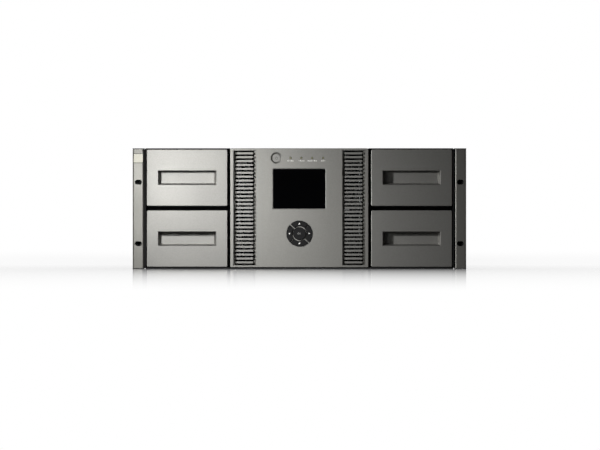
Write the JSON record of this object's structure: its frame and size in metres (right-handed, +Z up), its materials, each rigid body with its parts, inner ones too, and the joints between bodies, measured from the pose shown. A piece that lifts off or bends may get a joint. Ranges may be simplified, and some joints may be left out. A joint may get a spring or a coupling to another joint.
{
  "type": "data tape library",
  "caption": "Rack-mount tape library with pull-out cartridge magazines, a control panel and an inner robot that carries tapes to drives at the rear.",
  "frame": {"origin": "middle of the underside, where the chassis stands on a surface", "axes": "+Z up, -Y towards the front of the library, +X to the right as seen from the front"},
  "size_m": [0.482, 0.76, 0.174],
  "materials": {
    "belt_rubber": "black neoprene timing belt",
    "black_frame": "matt black moulded plastic",
    "black_key": "satin black moulded keys",
    "bright_steel": "ground bright steel",
    "cage_plastic": "black glass-filled plastic",
    "cartridge_shell": "dark grey moulded polycarbonate",
    "circuit_board": "green solder mask",
    "display_case": "dark moulded display module",
    "drive_case": "dark painted steel drive case",
    "fan_plastic": "black moulded fan plastic",
    "gear_brass": "brass-coloured sintered gear",
    "gloss_window": "gloss black acrylic",
    "guide_plastic": "dark acetal and painted sheet",
    "light_lens": "tinted clear lens, unlit",
    "machined_aluminium": "bare satin aluminium",
    "motor_case": "dark painted steel motor case",
    "screw_steel": "zinc-plated steel",
    "silver_paint": "satin metallic silver paint on moulded ABS",
    "zinc_steel": "zinc-plated sheet steel, satin"
  },
  "bodies": {
    "chassis": {"base_pan": "zinc_steel", "top_cover": "zinc_steel", "rear_panel": "zinc_steel", "front_frame": "black_frame", "bay_walls": "zinc_steel", "magazine_guides": "guide_plastic", "ear_brackets": "zinc_steel", "ear_cover_left": "silver_paint", "ear_cover_right": "silver_paint", "front_panel": "silver_paint", "vent_grille_left": "silver_paint", "vent_grille_right": "silver_paint", "display_window": "gloss_window", "display_module": "display_case", "panel_board": "circuit_board", "status_lights": "light_lens", "aisle_rails": "bright_steel", "toothed_rail": "machined_aluminium", "controller_module": "zinc_steel", "case_screws": "screw_steel"},
    "power_button": {"power_button": "silver_paint"},
    "key_up": {"key_up": "black_key"},
    "key_down": {"key_down": "black_key"},
    "key_left": {"key_left": "black_key"},
    "key_right": {"key_right": "black_key"},
    "key_middle": {"key_middle": "black_key"},
    "magazine_lower_left": {"magazine_front_lower_left": "silver_paint", "magazine_cage_lower_left": "cage_plastic", "cartridges_lower_left": "cartridge_shell"},
    "magazine_lower_right": {"magazine_front_lower_right": "silver_paint", "magazine_cage_lower_right": "cage_plastic", "cartridges_lower_right": "cartridge_shell"},
    "magazine_upper_left": {"magazine_front_upper_left": "silver_paint", "magazine_cage_upper_left": "cage_plastic", "cartridges_upper_left": "cartridge_shell"},
    "magazine_upper_right": {"magazine_front_upper_right": "silver_paint", "magazine_cage_upper_right": "cage_plastic", "cartridges_upper_right": "cartridge_shell"},
    "carriage": {"carriage_frame": "machined_aluminium", "robot_motors": "motor_case", "lift_belt": "belt_rubber"},
    "carriage_pinion": {"carriage_pinion": "gear_brass"},
    "lift_screw_left": {"lift_screw_left": "bright_steel"},
    "lift_screw_right": {"lift_screw_right": "bright_steel"},
    "lift_pulley": {"lift_pulley": "machined_aluminium"},
    "lift": {"lift_platform": "machined_aluminium", "turntable_motor": "motor_case"},
    "turntable": {"turntable": "machined_aluminium"},
    "turntable_pinion": {"turntable_pinion": "gear_brass"},
    "picker_tray": {"picker_tray": "machined_aluminium", "barcode_reader": "cage_plastic"},
    "gripper": {"gripper": "cage_plastic"},
    "drive_sled_lower": {"drive_sled_lower": "zinc_steel", "tape_drive_lower": "drive_case"},
    "drive_sled_upper": {"drive_sled_upper": "zinc_steel", "tape_drive_upper": "drive_case"},
    "power_supply_lower": {"power_supply_lower": "zinc_steel"},
    "power_supply_upper": {"power_supply_upper": "zinc_steel"},
    "fan_rotor_lower": {"fan_rotor_lower": "fan_plastic"},
    "fan_rotor_upper": {"fan_rotor_upper": "fan_plastic"}
  },
  "joints": [
    {"name": "magazine_lower_left_slide", "type": "slide", "parent": "chassis", "child": "magazine_lower_left", "axis": [0, -1, 0], "range_m": [0, 0.44]},
    {"name": "magazine_lower_right_slide", "type": "slide", "parent": "chassis", "child": "magazine_lower_right", "axis": [0, -1, 0], "range_m": [0, 0.44]},
    {"name": "magazine_upper_left_slide", "type": "slide", "parent": "chassis", "child": "magazine_upper_left", "axis": [0, -1, 0], "range_m": [0, 0.44]},
    {"name": "magazine_upper_right_slide", "type": "slide", "parent": "chassis", "child": "magazine_upper_right", "axis": [0, -1, 0], "range_m": [0, 0.44]},
    {"name": "power_button_press", "type": "slide", "parent": "chassis", "child": "power_button", "axis": [0, 1, 0], "range_m": [0, 0.0015], "stiffness_N_per_m": 500},
    {"name": "key_up_press", "type": "slide", "parent": "chassis", "child": "key_up", "axis": [0, 1, 0], "range_m": [0, 0.001], "stiffness_N_per_m": 500},
    {"name": "key_down_press", "type": "slide", "parent": "chassis", "child": "key_down", "axis": [0, 1, 0], "range_m": [0, 0.001], "stiffness_N_per_m": 500},
    {"name": "key_left_press", "type": "slide", "parent": "chassis", "child": "key_left", "axis": [0, 1, 0], "range_m": [0, 0.001], "stiffness_N_per_m": 500},
    {"name": "key_right_press", "type": "slide", "parent": "chassis", "child": "key_right", "axis": [0, 1, 0], "range_m": [0, 0.001], "stiffness_N_per_m": 500},
    {"name": "key_middle_press", "type": "slide", "parent": "chassis", "child": "key_middle", "axis": [0, 1, 0], "range_m": [0, 0.001], "stiffness_N_per_m": 500},
    {"name": "carriage_travel", "type": "slide", "parent": "chassis", "child": "carriage", "axis": [0, 1, 0], "range_m": [0, 0.315]},
    {"name": "carriage_pinion_turn", "type": "hinge", "parent": "carriage", "child": "carriage_pinion", "pos_m": [0.0885, -0.17938, 0.167], "axis": [0, 0, 1], "continuous": true},
    {"name": "lift_travel", "type": "slide", "parent": "carriage", "child": "lift", "axis": [0, 0, 1], "range_m": [0, 0.135]},
    {"name": "lift_screw_left_turn", "type": "hinge", "parent": "carriage", "child": "lift_screw_left", "pos_m": [-0.088, -0.19937, 0.08], "axis": [0, 0, 1], "continuous": true},
    {"name": "lift_screw_right_turn", "type": "hinge", "parent": "carriage", "child": "lift_screw_right", "pos_m": [0.088, -0.19937, 0.08], "axis": [0, 0, 1], "continuous": true},
    {"name": "lift_pulley_turn", "type": "hinge", "parent": "carriage", "child": "lift_pulley", "pos_m": [-0.0885, -0.17938, 0.165], "axis": [0, 0, 1], "continuous": true},
    {"name": "turntable_turn", "type": "hinge", "parent": "lift", "child": "turntable", "pos_m": [0, -0.26538, 0.004], "axis": [0, 0, 1], "range_deg": [-90, 90]},
    {"name": "turntable_pinion_turn", "type": "hinge", "parent": "lift", "child": "turntable_pinion", "pos_m": [0.06155, -0.20382, 0.004], "axis": [0, 0, 1], "continuous": true},
    {"name": "picker_tray_slide", "type": "slide", "parent": "turntable", "child": "picker_tray", "axis": [0, 1, 0], "range_m": [0, 0.044]},
    {"name": "gripper_slide", "type": "slide", "parent": "picker_tray", "child": "gripper", "axis": [0, 1, 0], "range_m": [0, 0.085]},
    {"name": "drive_sled_lower_slide", "type": "slide", "parent": "chassis", "child": "drive_sled_lower", "axis": [0, 1, 0], "range_m": [0, 0.2]},
    {"name": "power_supply_lower_slide", "type": "slide", "parent": "chassis", "child": "power_supply_lower", "axis": [0, 1, 0], "range_m": [0, 0.18]},
    {"name": "drive_sled_upper_slide", "type": "slide", "parent": "chassis", "child": "drive_sled_upper", "axis": [0, 1, 0], "range_m": [0, 0.2]},
    {"name": "power_supply_upper_slide", "type": "slide", "parent": "chassis", "child": "power_supply_upper", "axis": [0, 1, 0], "range_m": [0, 0.18]},
    {"name": "fan_lower_spin", "type": "hinge", "parent": "power_supply_lower", "child": "fan_rotor_lower", "pos_m": [0.13, 0.35142, 0.0413], "axis": [0, 1, 0], "continuous": true},
    {"name": "fan_upper_spin", "type": "hinge", "parent": "power_supply_upper", "child": "fan_rotor_upper", "pos_m": [0.13, 0.35142, 0.1261], "axis": [0, 1, 0], "continuous": true}
  ],
  "couplings": [
    {"joint": "carriage_pinion_turn", "follows": "carriage_travel", "rad_per_m": -95.238},
    {"joint": "lift_screw_left_turn", "follows": "lift_travel", "rad_per_m": 261.8},
    {"joint": "lift_screw_right_turn", "follows": "lift_travel", "rad_per_m": 261.8},
    {"joint": "lift_pulley_turn", "follows": "lift_travel", "rad_per_m": 261.8},
    {"joint": "turntable_pinion_turn", "follows": "turntable_turn", "ratio": -4.2727}
  ]
}
